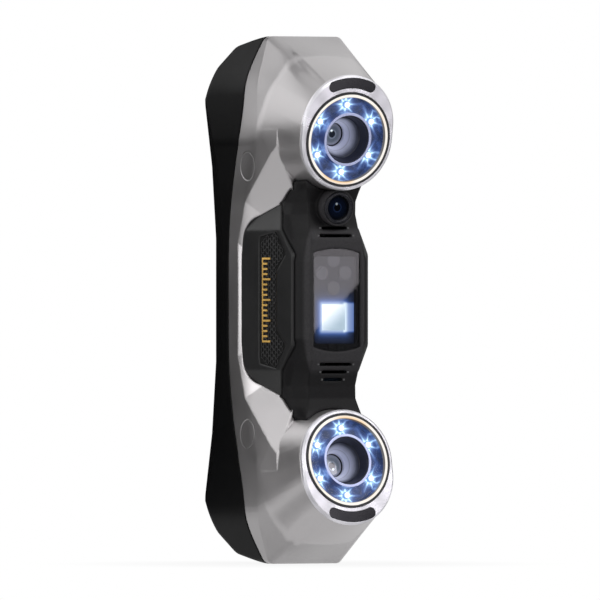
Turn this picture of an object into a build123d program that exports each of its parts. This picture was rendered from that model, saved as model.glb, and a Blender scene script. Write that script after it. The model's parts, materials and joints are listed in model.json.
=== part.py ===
import os
from math import cos, radians, sin

from build123d import *

os.makedirs("parts", exist_ok=True)

# Handheld three-d scanner, upright. X is its width, -Y its front, Z its length.
# A silver front housing carries a camera inside a ring of lamps at each end.
# A black centre cover between them holds the projector and the colour camera.
# A black back cover with a grip pad and three keys closes the rear.

# Driving dimensions of the whole body
length = 204
width = 42.5
depth = 80
wall = 2.2
waist_width = 40
corner_width = 32.6
shoulder_drop = 18
top_z = length / 2
side_x = width / 2
front_y = -depth / 2
back_y = depth / 2
waist_x = waist_width / 2
corner_x = corner_width / 2
shoulder_z = top_z - shoulder_drop

# Clearances and the overrun that every cut shares
seam = 0.2
fit = 0.1
slip = 0.3
over = 6

# Lens faces, turned in towards the middle of the scanned volume
toe_in = 10
lens_z = 61.8
bezel_radius = 20
bezel_rise = 5
bezel_thick = 2
toe_sin = sin(radians(toe_in))
toe_cos = cos(radians(toe_in))
bezel_edge = 0.7
lens_y = front_y + (bezel_radius + bezel_rise - bezel_edge) * toe_sin

ends = (("upper", 1), ("lower", -1))
sides = (("left", -1), ("right", 1))


def save(part, name):
    part.label = name
    export_step(part, f"parts/{name}.step")


def lens_plane(end, back=0):
    """The plane of a lens face, with its own Y pointing to the near end of the body."""
    origin = (0, lens_y + back * toe_cos, end * (lens_z + back * toe_sin))
    return Plane(origin=origin, x_dir=(end, 0, 0), z_dir=(0, -toe_cos, -end * toe_sin))


def lens_section(end):
    """A plane through the lens axis: X is the radius and Y the depth behind the face."""
    origin = (0, lens_y, end * lens_z)
    return Plane(origin=origin, x_dir=(end, 0, 0), z_dir=(0, -toe_sin, end * toe_cos))


def lens_axis(end):
    return Axis((0, lens_y, end * lens_z), (0, -toe_cos, -end * toe_sin))


def turned(end, *profile):
    """A ring or tube about the lens axis, from (radius, depth) points."""
    with BuildPart() as piece:
        with BuildSketch(lens_section(end)):
            with BuildLine():
                Polyline(*profile, close=True)
            make_face()
        revolve(axis=lens_axis(end))
    return piece.part


# Outer form: heads, spine and the line where front and back shells meet
head_base_y = -2.5
head_centre_z = 62.8
barrel_slope = (side_x - bezel_radius) / (head_base_y - lens_y)
shoulder_radius = 30
ridge_radius = 3
spine_front = -17
spine_reach = 66
key_proud = 0.8
shell_back = back_y - key_proud
end_slope = [(1, top_z), (20.5, 98.2), (31.5, 90), (shell_back, 76)]
end_radii = [8, 10, 8, 4]
cheek_point = (side_x, spine_front, 61)
cheek_normal = (0.891, -0.3, -0.366)
bend_point = (20.67, 12.2, 30.5)
bend_normal = (0.88, -0.437, -0.187)
lip_point = (waist_x, 14.5, 0)
lip_normal = (0.83, -0.555, 0)
flank_point = (waist_x, 27, 38)
flank_normal = (0.944, 0.329, 0)
curve_point = (waist_x, 27, 24)
curve_normal = (0.942, 0.328, -0.06)
flare_normal = (0.938, 0.326, -0.1195)
bulk = 3 * length


def egg(radius, rise):
    ThreePointArc((-radius, 0), (0, -radius), (radius, 0))
    Line((radius, 0), (radius, rise))
    ThreePointArc((radius, rise), (0, rise + radius), (-radius, rise))
    Line((-radius, rise), (-radius, 0))


def head_outline(inset):
    """The back of a head: its lower half is round, as the lens barrel is."""
    centre = head_centre_z
    half = side_x - inset
    top = top_z - inset
    corner = corner_x - inset * (corner_x / side_x)
    ThreePointArc((-half, centre), (0, centre - half), (half, centre))
    points = [(half, centre), (half, shoulder_z), (corner, top), (-corner, top), (-half, shoulder_z)]
    radii = [shoulder_radius, ridge_radius, ridge_radius, shoulder_radius]
    FilletPolyline(*points, (-half, centre), radius=radii)


def head_solid(end, inset):
    """A head: a flat-sided block at the back that runs into the egg-shaped lens face."""
    base = Plane(origin=(0, head_base_y, 0), x_dir=(end, 0, 0), z_dir=(0, -1, 0))
    with BuildPart() as head:
        with BuildSketch(base) as back_outline:
            with BuildLine():
                head_outline(inset)
            make_face()
        with BuildSketch(lens_plane(end, bezel_thick + inset)):
            with BuildLine():
                egg(bezel_radius - inset, bezel_rise)
            make_face()
        loft(ruled=True)
        extrude(back_outline.sketch, amount=-(back_y - head_base_y))
    return head.part


def beyond(point, normal, inset):
    """Everything outside a slanted plane that lies inset behind the outer form's own."""
    origin = Vector(*point) - Vector(*normal).normalized() * inset
    with BuildPart() as block:
        Box(bulk, bulk, bulk)
        split(bisect_by=Plane(origin=origin, z_dir=Vector(*normal)), keep=Keep.TOP)
    return block.part


def valley(sign, inset, *faces):
    """What lies outside all the named slanted faces, each taken above and below the middle."""
    space = None
    for point, normal in faces:
        for z_sign in (1, -1):
            place = (sign * point[0], point[1], z_sign * point[2])
            way = (sign * normal[0], normal[1], z_sign * normal[2])
            block = beyond(place, way, inset)
            space = block if space is None else space & block
    return space


def spine_solid(inset):
    """The bar that joins the heads, with its waist and its slanted cheeks."""
    half = waist_x - inset
    wide = side_x - inset
    reach = spine_reach - inset
    with BuildPart() as spine:
        with BuildSketch(Plane.XZ.offset(-back_y)):
            with BuildLine():
                right = ThreePointArc((wide, -reach), (half, 0), (wide, reach))
                left = ThreePointArc((-wide, reach), (-half, 0), (-wide, -reach))
                Line(right @ 1, left @ 0)
                Line(left @ 1, right @ 0)
            make_face()
        extrude(amount=back_y - spine_front)
        for sign in (1, -1):
            cheeks = [(cheek_point, cheek_normal), (bend_point, bend_normal), (lip_point, lip_normal)]
            add(valley(sign, inset, *cheeks), mode=Mode.SUBTRACT)
            barrel_side = beyond((sign * side_x, head_base_y, 0), (sign, -barrel_slope, 0), inset)
            add(barrel_side, mode=Mode.SUBTRACT)
    return spine.part


def end_profile(inset):
    """The side view of the whole body, with its sloping ends, as a trimming prism."""
    low = -2 * depth
    slope = [(y - inset * (y > side_x), z - inset * (z > shoulder_z)) for y, z in end_slope]
    upper = [(low, top_z - inset), *slope]
    lower = [(y, -z) for y, z in reversed(upper)]
    with BuildPart() as prism:
        with BuildSketch(Plane.YZ):
            with BuildLine():
                run = FilletPolyline(*upper, *lower, radius=end_radii + end_radii[::-1])
                Line(run @ 1, run @ 0)
            make_face()
        extrude(amount=side_x + over, both=True)
    return prism.part


def body_solid(inset):
    """The whole outer form, or the same form pulled in by inset."""
    heads = head_solid(1, inset) + head_solid(-1, inset)
    form = (spine_solid(inset) + heads) & end_profile(inset)
    for sign in (1, -1):
        flanks = [(flank_point, flank_normal), (curve_point, curve_normal), (flank_point, flare_normal)]
        form = form - valley(sign, inset, *flanks)
    return form


# Parting between the front housing and the back cover, as (depth, height)
parting_line = [(22, 0), (20.6, 30), (17, 46.5), (13.5, 57.5), (8, 76), (5, 91), (0.5, 101), (-2, 107)]


def parting_prism(shift):
    """Everything behind the parting line, moved back by shift."""
    far = 2 * depth
    above = [(y + shift, z) for y, z in parting_line]
    below = [(y, -z) for y, z in reversed(above[1:])]
    with BuildPart() as prism:
        with BuildSketch(Plane.YZ):
            with BuildLine():
                run = Spline(*below, *above)
                Polyline(run @ 1, (far, above[-1][1]), (far, -above[-1][1]), run @ 0)
            make_face()
        extrude(amount=side_x + over, both=True)
    return prism.part


# Centre cover: (height, half width and depth of three corners) of each section
cover_sections = [
    (15, (11.65, -27.5), (16.9, -21.3), (17.1, -20.6)),
    (23.5, (11.2, -27), (14.9, -19.8), (17.2, -16.5)),
    (28, (10.7, -25), (14.2, -17.5), (17, -13.8)),
    (33, (10.4, -23.5), (13.4, -14.5), (15.4, -11)),
    (38, (10.5, -23.5), (12.6, -16), (13.9, -11.6)),
    (41.5, (11.4, -24.4), (13.0, -18.4), (13.9, -15.2)),
    (45, (12.4, -25.5), (12.6, -19), (13.6, -16.6)),
    (46.5, (12.4, -25.5), (12.5, -19), (12.8, -16.6)),
]
cover_wall = 2.2
cover_rear = -8


def cover_solid(inset):
    """The projector head and the necks that run under both lens barrels."""
    levels = [(-z, corners) for z, *corners in reversed(cover_sections)]
    levels += [(z, corners) for z, *corners in cover_sections]
    with BuildPart() as cover:
        for z, corners in levels:
            right = [(x - inset, y + inset) for x, y in corners]
            right.append((right[-1][0], cover_rear))
            with BuildSketch(Plane.XY.offset(z)):
                with BuildLine():
                    Polyline(*right, *[(-x, y) for x, y in reversed(right)], close=True)
                make_face()
        loft(ruled=True)
    return cover.part


# Side panels: outline as (depth, height), and the faces of their outer side
panel_outline = [(-22, 17.5), (-14.4, 27), (-9.2, 37), (7.5, 31), (11.8, 25.5), (13, 17)]
panel_radii = [3, 4, 0.6, 10, 12, 25]
panel_point = (17.7, -11, 27)
panel_side_normal = (0.998, -0.067, 0)
panel_end_normal = (0.944, -0.062, 0.325)
panel_thick = 2
peg_radius = 1.2
peg_z = 10


def panel_prism(grow):
    """The panel's outline, grown by a clearance, as a prism across the whole body."""
    points = panel_outline + [(y, -z) for y, z in reversed(panel_outline)]
    with BuildPart() as prism:
        with BuildSketch(Plane.YZ):
            with BuildLine():
                FilletPolyline(*points, radius=panel_radii + panel_radii[::-1], close=True)
            make_face()
            if grow:
                offset(amount=grow)
        extrude(amount=side_x + over, both=True)
    return prism.part


def panel_form(sign, inset):
    """The half space inside a panel's outer side, pulled in by inset."""
    with BuildPart() as form:
        Box(bulk, bulk, bulk)
        split(bisect_by=Plane(origin=(0, 0, 0), z_dir=(sign, 0, 0)), keep=Keep.TOP)
        for normal, z_sign in ((panel_side_normal, 1), (panel_end_normal, 1), (panel_end_normal, -1)):
            place = (sign * panel_point[0], panel_point[1], z_sign * panel_point[2])
            way = (sign * normal[0], normal[1], z_sign * normal[2])
            add(beyond(place, way, inset), mode=Mode.SUBTRACT)
    return form.part


def panel_skin(sign, outer_inset, inner_inset):
    return panel_form(sign, outer_inset) - panel_form(sign, inner_inset)


# Holes and pieces of each lens, as radii about the lens axis and depths behind its face
bore_radius = 18.5
bore_depth = 6.6
tray_radius = bore_radius - fit
seal_inner = 17.6
seal_depth = 1.4
seal_proud = 0.4
accent_inner = 16.4
accent_proud = 0.2
tray_floor = 1.2
collar_radius = 10.4
collar_inner = 9.4
lamp_cover_depth = 1
lamp_cover_thick = 1.2
lamp_board_thick = 1.2
lamp_radius = 1.5
lamp_height = 1.5
lamp_circle = 13.1
lamp_count = 6
crescent_radius = 22
crescent_width = 4.2
crescent_half_angle = 22
crescent_depth = 1.2
crescent_sunk = 0.3
baffle_steps = [(9.3, 0.6), (8, 5.1), (6.5, 8), (5, 10.9)]
baffle_end = 12.4
baffle_wall = 1.3
barrel_radius = 6.2
barrel_inner = 4.6
barrel_stop = 3.6
barrel_end = 26
glass_thick = 1.9
camera_board_size = 18
camera_board_thick = 1.4
post_radius = 8

# Colour camera above the projector
color_z = 35.5
color_y = -28.6
color_tilt = 6
pod_radius = 7
pod_depth = 12
color_bezel_radius = 6.2
color_bezel_inner = 4.7
color_bezel_depth = 2
color_proud = 0.5
color_barrel_radius = 4.6
color_barrel_length = 12
color_board_width = 14
color_board_height = 12
color_board_thick = 1.2
color_glass_thick = 1
color_axis_plane = Plane(
    origin=(0, color_y, color_z),
    x_dir=(1, 0, 0),
    z_dir=(0, -cos(radians(color_tilt)), -sin(radians(color_tilt))),
)

# Projector window and what it shows
window_half_width = 10.4
window_half_height = 19.8
window_corner_z = 18
window_sunk = 0.7
window_thick = 0.8
window_ledge = 1.2
cover_front = cover_sections[0][1][1]
plate_half_width = 9.2
plate_half_height = 17
plate_thick = 0.8
plate_gap = 0.8
emitter_radius = 2.7
emitter_rise = 0.4
emitter_places = [(0, 15.3), (-5.2, 10.4), (5.2, 10.4), (0, 4.5)]
square_size = 10
square_z = -6.7
projector_half_width = 9.5
vent_half_widths = [7.2, 5.6, 4.3]
vent_first_z = 24.8
vent_pitch = 2.95
vent_height = 1.2

# Frame inside the body, its lugs and its screws
frame_front = 4
frame_thick = 3
frame_half_width = 13
frame_half_length = 84
frame_back = frame_front + frame_thick
ear_x = 14.5
ear_z = 50
ear_half = 3.2
lug_reach = 8
cover_post_x = 9.5
cover_post_z = 29
cover_post_radius = 2.4
screw_radius = 1.25
screw_head_radius = 2.3
screw_head_height = 1.6
screw_length = 8
boss_x = 8
boss_z = 56
boss_radius = 4.5
boss_bore = 3.2
boss_floor = 7

# Electronics
board_y = 10
board_thick = 1.6
board_half_width = 14.2
board_half_length = 44
standoff_x = 11
standoff_z = 38
standoff_radius = 2.5
chip_height = 1.4
chips = [(0, 0, 13), (-9, 26, 8), (8, 27, 9), (-9, -26, 9), (9, -28, 7), (0, -37, 5)]
sink_half_width = 11
sink_half_length = 20
sink_base = 2
sink_height = 9
fin_thick = 1.2
fin_count = 7

# Keys on the back: name, cap radius, height up the body
keys = [("scan_key", 6.4, 16), ("plus_key", 4.4, 33), ("minus_key", 4.4, -1)]
key_sunk = 0.3
key_flange = 1
key_flange_thick = 1
key_stem_radius = 2
key_gap = 0.6
key_edge = 0.4
switch_size = 5
switch_height = 3
key_board_y = 30
key_board_thick = 1.4
key_board_half_width = 10
key_board_low = -9
key_board_high = 49
key_post_x = 7.8
key_post_z = (6.5, 25.5)
key_post_radius = 1.8
light_radius = 1.2
light_z = 46

# Grip pad
pad_half_width = 13.5
pad_half_length = 62
pad_corner = 6
pad_sunk = 1
pad_clear = 0.8

# Data socket in the back
socket_z = -69
socket_width = 9
socket_height = 3.3
socket_length = 7.4
socket_wall = 0.35
socket_tongue = 0.7
socket_sunk = 0.4
socket_board_half_width = 8
socket_board_length = 14
socket_board_thick = 1.2
shelf_thick = 2.4

# Tripod insert in the lower end, with a quarter inch thread
tripod_y = 9
tripod_z = -98.2
tripod_radius = 3.175
insert_radius = 4.8
insert_length = 9
tripod_boss_radius = 7.5
tripod_boss_top = -86.5
spot_radius = 5.6

# Round plugs over the screws in both sides
plug_radius = 5.35
plug_y = 5.8
plug_z = 51.9
plug_thick = 1

# Pierced inlays in the side panels
inlay_outline = [(0.7, 22), (0.2, 24.5), (-11, 26.4), (-17.6, 17.6), (-11, 11.1)]
inlay_sunk = 0.3
inlay_thick = 0.6


def lens_bore(end, radius, depth):
    """A plug about the lens axis, from in front of the bezel to a depth behind its face."""
    return turned(end, (0, -over), (radius, -over), (radius, depth), (0, depth))


def along_y(radius, x, z, start, stop):
    """A rod along the depth axis."""
    with BuildPart() as rod:
        with BuildSketch(Plane(origin=(x, start, z), x_dir=(1, 0, 0), z_dir=(0, 1, 0))):
            Circle(radius)
        extrude(amount=stop - start)
    return rod.part


def block(x_low, x_high, y_low, y_high, z_low, z_high):
    """A plain block between six named faces."""
    with BuildPart() as piece:
        with BuildSketch(Plane.XY.offset(z_low)):
            with BuildLine():
                Polyline((x_low, y_low), (x_high, y_low), (x_high, y_high), (x_low, y_high), close=True)
            make_face()
        extrude(amount=z_high - z_low)
    return piece.part


def side_disc(sign, z_sign, radius):
    """A round column that runs out through one side at a plug's place."""
    with BuildPart() as column:
        with BuildSketch(Plane(origin=(0, plug_y, z_sign * plug_z), x_dir=(0, 1, 0), z_dir=(sign, 0, 0))):
            Circle(radius)
        extrude(amount=side_x + over)
    return column.part


quarters = [(x_sign, z_sign) for x_sign in (1, -1) for z_sign in (1, -1)]
outer = body_solid(0)
shell = outer - body_solid(wall)
rear = parting_prism(0)
rear_clear = parting_prism(-seam)
panel_zone = panel_prism(seam)
heads_clear = head_solid(1, -seam) + head_solid(-1, -seam)

# Front housing
cover_zone = cover_solid(-seam)
plug_pocket = outer - body_solid(plug_thick + fit)
lug_limit = body_solid(plug_thick + 2 * fit)
with BuildPart() as front_housing:
    add(shell - rear_clear)
    add(panel_zone, mode=Mode.SUBTRACT)
    add(cover_zone - heads_clear, mode=Mode.SUBTRACT)
    for name, end in ends:
        add(lens_bore(end, bore_radius, bore_depth), mode=Mode.SUBTRACT)
    for x_sign, z_sign in quarters:
        lug = block(
            min(x_sign * (ear_x - ear_half), x_sign * side_x),
            max(x_sign * (ear_x - ear_half), x_sign * side_x),
            frame_front - lug_reach,
            frame_front,
            z_sign * ear_z - ear_half,
            z_sign * ear_z + ear_half,
        )
        add(lug & lug_limit)
        add(along_y(screw_radius, x_sign * ear_x, z_sign * ear_z, frame_front - lug_reach, frame_front),
            mode=Mode.SUBTRACT)
        add(plug_pocket & side_disc(x_sign, z_sign, plug_radius + fit), mode=Mode.SUBTRACT)
save(front_housing.part, "front_housing")

plug_skin = outer - body_solid(plug_thick)
with BuildPart() as side_plugs:
    for x_sign, z_sign in quarters:
        add(plug_skin & side_disc(x_sign, z_sign, plug_radius))
save(side_plugs.part, "side_plugs")

# Lens stacks, one at each end
crescent_arc = CenterArc((0, 0), crescent_radius, 90 - crescent_half_angle, 2 * crescent_half_angle)
for name, end in ends:
    with BuildPart() as bezel:
        with BuildSketch(lens_plane(end, bezel_thick)):
            with BuildLine():
                egg(bezel_radius, bezel_rise)
            make_face()
            Circle(bore_radius, mode=Mode.SUBTRACT)
        extrude(amount=bezel_thick)
        front_face = bezel.faces().sort_by(lens_axis(end))[-1]
        chamfer(front_face.outer_wire().edges(), length=bezel_edge)
        with BuildSketch(lens_plane(end)):
            SlotArc(crescent_arc, height=crescent_width)
        extrude(amount=-crescent_depth, mode=Mode.SUBTRACT)
    save(bezel.part, f"{name}_bezel")

    with BuildPart() as crescent_window:
        with BuildSketch(lens_plane(end, crescent_sunk)):
            SlotArc(crescent_arc, height=crescent_width - 2 * fit)
        extrude(amount=crescent_sunk - crescent_depth)
    save(crescent_window.part, f"{name}_crescent_window")

    seal_ring = turned(end, (seal_inner, -seal_proud), (tray_radius, -seal_proud),
                       (tray_radius, seal_depth), (seal_inner, seal_depth))
    save(seal_ring, f"{name}_seal_ring")

    accent_outer = seal_inner - fit
    accent_ring = turned(end, (accent_inner, -accent_proud), (accent_outer, -accent_proud),
                         (accent_outer, seal_depth), (accent_inner, seal_depth))
    save(accent_ring, f"{name}_accent_ring")

    floor_top = bore_depth - tray_floor
    collar_hole = collar_radius + fit
    lamp_tray = turned(end, (accent_inner, seal_depth), (tray_radius, seal_depth), (tray_radius, bore_depth),
                       (collar_hole, bore_depth), (collar_hole, floor_top), (accent_inner, floor_top))
    save(lamp_tray, f"{name}_lamp_tray")

    board_outer = accent_inner - fit
    board_top = floor_top - lamp_board_thick
    lamp_board = turned(end, (collar_hole, board_top), (board_outer, board_top),
                        (board_outer, floor_top), (collar_hole, floor_top))
    save(lamp_board, f"{name}_lamp_board")

    with BuildPart() as lamps:
        with BuildSketch(lens_plane(end, board_top)):
            with PolarLocations(lamp_circle, lamp_count, start_angle=90):
                Circle(lamp_radius)
        extrude(amount=lamp_height)
        fillet(lamps.edges().group_by(lens_axis(end))[-1], radius=lamp_radius / 2)
    save(lamps.part, f"{name}_lamps")

    cover_back = lamp_cover_depth + lamp_cover_thick
    lamp_cover = turned(end, (collar_hole, lamp_cover_depth), (board_outer, lamp_cover_depth),
                        (board_outer, cover_back), (collar_hole, cover_back))
    save(lamp_cover, f"{name}_lamp_cover")

    lens_collar = turned(end, (collar_inner, 0), (collar_radius, 0),
                         (collar_radius, bore_depth), (collar_inner, bore_depth))
    save(lens_collar, f"{name}_lens_collar")

    # The baffle steps in towards the lens, with one wall thickness throughout
    front_radius, front_depth = baffle_steps[0]
    steps = [(front_radius - baffle_wall / 4, front_depth)]
    for radius, depth in baffle_steps[1:]:
        steps += [(radius, depth - baffle_wall / 4), (radius - baffle_wall / 4, depth)]
    steps.append((steps[-1][0], baffle_end))
    skin = [(barrel_radius, baffle_end), (barrel_radius, baffle_end - baffle_wall),
            (front_radius, bore_depth), (front_radius, front_depth)]
    save(turned(end, *steps, *skin), f"{name}_baffle")

    glass_back = baffle_end + glass_thick
    lens_barrel = turned(end, (barrel_inner, baffle_end), (barrel_radius, baffle_end),
                         (barrel_radius, barrel_end), (barrel_stop, barrel_end),
                         (barrel_stop, glass_back), (barrel_inner, glass_back))
    save(lens_barrel, f"{name}_lens_barrel")

    glass_radius = barrel_inner - fit
    with BuildPart() as lens_glass:
        with BuildSketch(lens_plane(end, glass_back)):
            Circle(glass_radius)
        extrude(amount=glass_thick)
        fillet(lens_glass.edges().group_by(lens_axis(end))[-1], radius=glass_thick / 2)
    save(lens_glass.part, f"{name}_lens_glass")

    with BuildPart() as camera_board:
        with BuildSketch(lens_plane(end, barrel_end)):
            Rectangle(camera_board_size, camera_board_size)
        extrude(amount=-camera_board_thick)
    save(camera_board.part, f"{name}_camera_board")

# Centre cover
with BuildPart() as center_cover:
    add(cover_solid(0) - cover_solid(cover_wall))
    with BuildSketch(color_axis_plane):
        Circle(pod_radius)
    extrude(amount=-pod_depth)
    for x_sign, z_sign in quarters:
        post = along_y(cover_post_radius, x_sign * cover_post_x, z_sign * cover_post_z, cover_front, frame_front)
        add(post - (block(-bulk, bulk, -bulk, cover_rear, -bulk, bulk) - cover_solid(wall / 2)))
        add(along_y(screw_radius, x_sign * cover_post_x, z_sign * cover_post_z, frame_front - lug_reach,
                    frame_front), mode=Mode.SUBTRACT)
    for sign in (1, -1):
        add(panel_skin(sign, -over, panel_thick + fit) & panel_zone, mode=Mode.SUBTRACT)
    add(heads_clear, mode=Mode.SUBTRACT)
    with BuildSketch(Plane.XZ.offset(-cover_front)):
        with BuildLine():
            corner = (window_half_width + fit, window_corner_z + fit)
            top = (0, window_half_height + fit)
            left = (-corner[0], corner[1])
            ThreePointArc(left, top, corner)
            Line(corner, (corner[0], -corner[1]))
            ThreePointArc((corner[0], -corner[1]), (0, -top[1]), (left[0], -left[1]))
            Line((left[0], -left[1]), left)
        make_face()
    extrude(amount=-window_sunk - window_thick, mode=Mode.SUBTRACT)
    with BuildSketch(Plane.XZ.offset(-cover_front)):
        RectangleRounded(2 * (window_half_width - window_ledge), 2 * (window_corner_z - window_ledge),
                         radius=window_ledge)
    extrude(amount=-cover_wall - seam, mode=Mode.SUBTRACT)
    for z_sign in (1, -1):
        for step, half in enumerate(vent_half_widths[: 2 if z_sign > 0 else None]):
            with BuildSketch(Plane.XZ.offset(-cover_front)):
                with Locations((0, z_sign * (vent_first_z + step * vent_pitch))):
                    SlotOverall(2 * half, vent_height)
            extrude(amount=-vent_height * len(vent_half_widths) * 2, mode=Mode.SUBTRACT)
    with BuildSketch(color_axis_plane):
        Circle(color_bezel_radius + fit)
    extrude(amount=-color_bezel_depth, mode=Mode.SUBTRACT)
    with BuildSketch(color_axis_plane):
        Circle(color_barrel_radius + fit)
    extrude(amount=-pod_depth - over, mode=Mode.SUBTRACT)
save(center_cover.part, "center_cover")

with BuildPart() as projector_window:
    with BuildSketch(Plane.XZ.offset(-cover_front - window_sunk)):
        with BuildLine():
            ThreePointArc((-window_half_width, window_corner_z), (0, window_half_height),
                          (window_half_width, window_corner_z))
            Line((window_half_width, window_corner_z), (window_half_width, -window_corner_z))
            ThreePointArc((window_half_width, -window_corner_z), (0, -window_half_height),
                          (-window_half_width, -window_corner_z))
            Line((-window_half_width, -window_corner_z), (-window_half_width, window_corner_z))
        make_face()
    extrude(amount=-window_thick)
save(projector_window.part, "projector_window")

plate_y = cover_front + cover_wall + plate_gap
with BuildPart() as emitter_plate:
    with BuildSketch(Plane.XZ.offset(-plate_y)):
        Rectangle(2 * plate_half_width, 2 * plate_half_height)
    extrude(amount=-plate_thick)
save(emitter_plate.part, "emitter_plate")

with BuildPart() as emitters:
    with BuildSketch(Plane.XZ.offset(-plate_y)):
        with Locations(*emitter_places):
            Circle(emitter_radius)
    extrude(amount=emitter_rise)
save(emitters.part, "emitters")

with BuildPart() as light_square:
    with BuildSketch(Plane.XZ.offset(-plate_y)):
        with Locations((0, square_z)):
            Rectangle(square_size, square_size)
    extrude(amount=emitter_rise)
save(light_square.part, "light_square")

projector_y = plate_y + plate_thick
projector_body = block(-projector_half_width, projector_half_width, projector_y, frame_front,
                       -plate_half_height, plate_half_height)
save(projector_body, "projector_body")

# Colour camera
with BuildPart() as color_bezel:
    with BuildSketch(color_axis_plane.offset(-color_bezel_depth)):
        Circle(color_bezel_radius)
        Circle(color_bezel_inner, mode=Mode.SUBTRACT)
    extrude(amount=color_bezel_depth + color_proud)
    rims = color_bezel.edges().group_by(Axis(color_axis_plane.origin, color_axis_plane.z_dir))[-1]
    chamfer(rims, length=color_proud)
save(color_bezel.part, "color_bezel")

with BuildPart() as color_lens:
    with BuildSketch(color_axis_plane.offset(-color_bezel_depth)):
        Circle(color_barrel_radius)
    extrude(amount=color_glass_thick)
save(color_lens.part, "color_lens")

with BuildPart() as color_barrel:
    with BuildSketch(color_axis_plane.offset(-color_bezel_depth)):
        Circle(color_barrel_radius)
    extrude(amount=-color_barrel_length)
save(color_barrel.part, "color_barrel")

with BuildPart() as color_board:
    with BuildSketch(color_axis_plane.offset(-color_bezel_depth - color_barrel_length)):
        Rectangle(color_board_width, color_board_height)
    extrude(amount=-color_board_thick)
save(color_board.part, "color_board")

# Side panels and their pierced inlays
inlay_points = inlay_outline + [(y, -z) for y, z in reversed(inlay_outline)]
for side, sign in sides:
    with BuildPart() as inlay_column:
        with BuildSketch(Plane.YZ):
            with BuildLine():
                Polyline(*inlay_points, close=True)
            make_face()
        extrude(amount=sign * (side_x + over))
    with BuildPart() as side_panel:
        add(panel_skin(sign, 0, panel_thick) & panel_prism(0))
        add(panel_skin(sign, -over, inlay_sunk + inlay_thick) & inlay_column.part, mode=Mode.SUBTRACT)
        for z_sign in (1, -1):
            with BuildSketch(Plane.YZ.offset(sign * (frame_half_width + fit))):
                with Locations((frame_front + frame_thick / 2, z_sign * peg_z)):
                    Circle(peg_radius)
            extrude(amount=sign * (panel_point[0] - panel_thick / 2 - frame_half_width))
    save(side_panel.part, f"{side}_side_panel")

    with BuildPart() as mesh_inlay:
        add(panel_skin(sign, inlay_sunk, inlay_sunk + inlay_thick) & inlay_column.part)
    save(mesh_inlay.part, f"{side}_mesh_inlay")

# Frame inside
with BuildPart() as optical_frame:
    add(block(-frame_half_width, frame_half_width, frame_front, frame_back,
              -frame_half_length, frame_half_length))
    for z_sign in (1, -1):
        add(block(-ear_x - ear_half, ear_x + ear_half, frame_front, frame_back,
                  z_sign * ear_z - ear_half, z_sign * ear_z + ear_half))
    for name, end in ends:
        post_start = barrel_end + camera_board_thick
        post_end = (frame_front + frame_thick / 2 - lens_y) / toe_cos
        add(turned(end, (0, post_start), (post_radius, post_start), (post_radius, post_end), (0, post_end)))
    for x_sign, z_sign in quarters:
        add(along_y(standoff_radius, x_sign * standoff_x, z_sign * standoff_z, frame_back, board_y))
        for x, z in ((ear_x, ear_z), (cover_post_x, cover_post_z), (boss_x, boss_z)):
            add(along_y(screw_radius, x_sign * x, z_sign * z, frame_front, frame_back), mode=Mode.SUBTRACT)
save(optical_frame.part, "optical_frame")


def screw(x, z, seat):
    """A pan head screw that points forwards from the seat under its head."""
    with BuildPart() as fastener:
        add(along_y(screw_radius, x, z, seat - screw_length, seat))
        add(along_y(screw_head_radius, x, z, seat, seat + screw_head_height))
    return fastener.part


with BuildPart() as frame_screws:
    for x_sign, z_sign in quarters:
        for x, z in ((ear_x, ear_z), (cover_post_x, cover_post_z)):
            add(screw(x_sign * x, z_sign * z, frame_back))
save(frame_screws.part, "frame_screws")

with BuildPart() as back_cover_screws:
    for x_sign, z_sign in quarters:
        add(screw(x_sign * boss_x, z_sign * boss_z, frame_back + boss_floor))
save(back_cover_screws.part, "back_cover_screws")

# Electronics
main_board = block(-board_half_width, board_half_width, board_y, board_y + board_thick,
                   -board_half_length, board_half_length)
save(main_board, "main_board")

chip_y = board_y + board_thick
with BuildPart() as board_chips:
    for x, z, size in chips:
        half = size / 2
        add(block(x - half, x + half, chip_y, chip_y + chip_height, z - half, z + half))
save(board_chips.part, "board_chips")

sink_y = chip_y + chip_height
with BuildPart() as heat_sink:
    add(block(-sink_half_width, sink_half_width, sink_y, sink_y + sink_base, -sink_half_length,
              sink_half_length))
    fin_pitch = (2 * sink_half_width - fin_thick) / (fin_count - 1)
    for index in range(fin_count):
        x = -sink_half_width + index * fin_pitch
        add(block(x, x + fin_thick, sink_y + sink_base, sink_y + sink_height, -sink_half_length,
                  sink_half_length))
save(heat_sink.part, "heat_sink")

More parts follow.
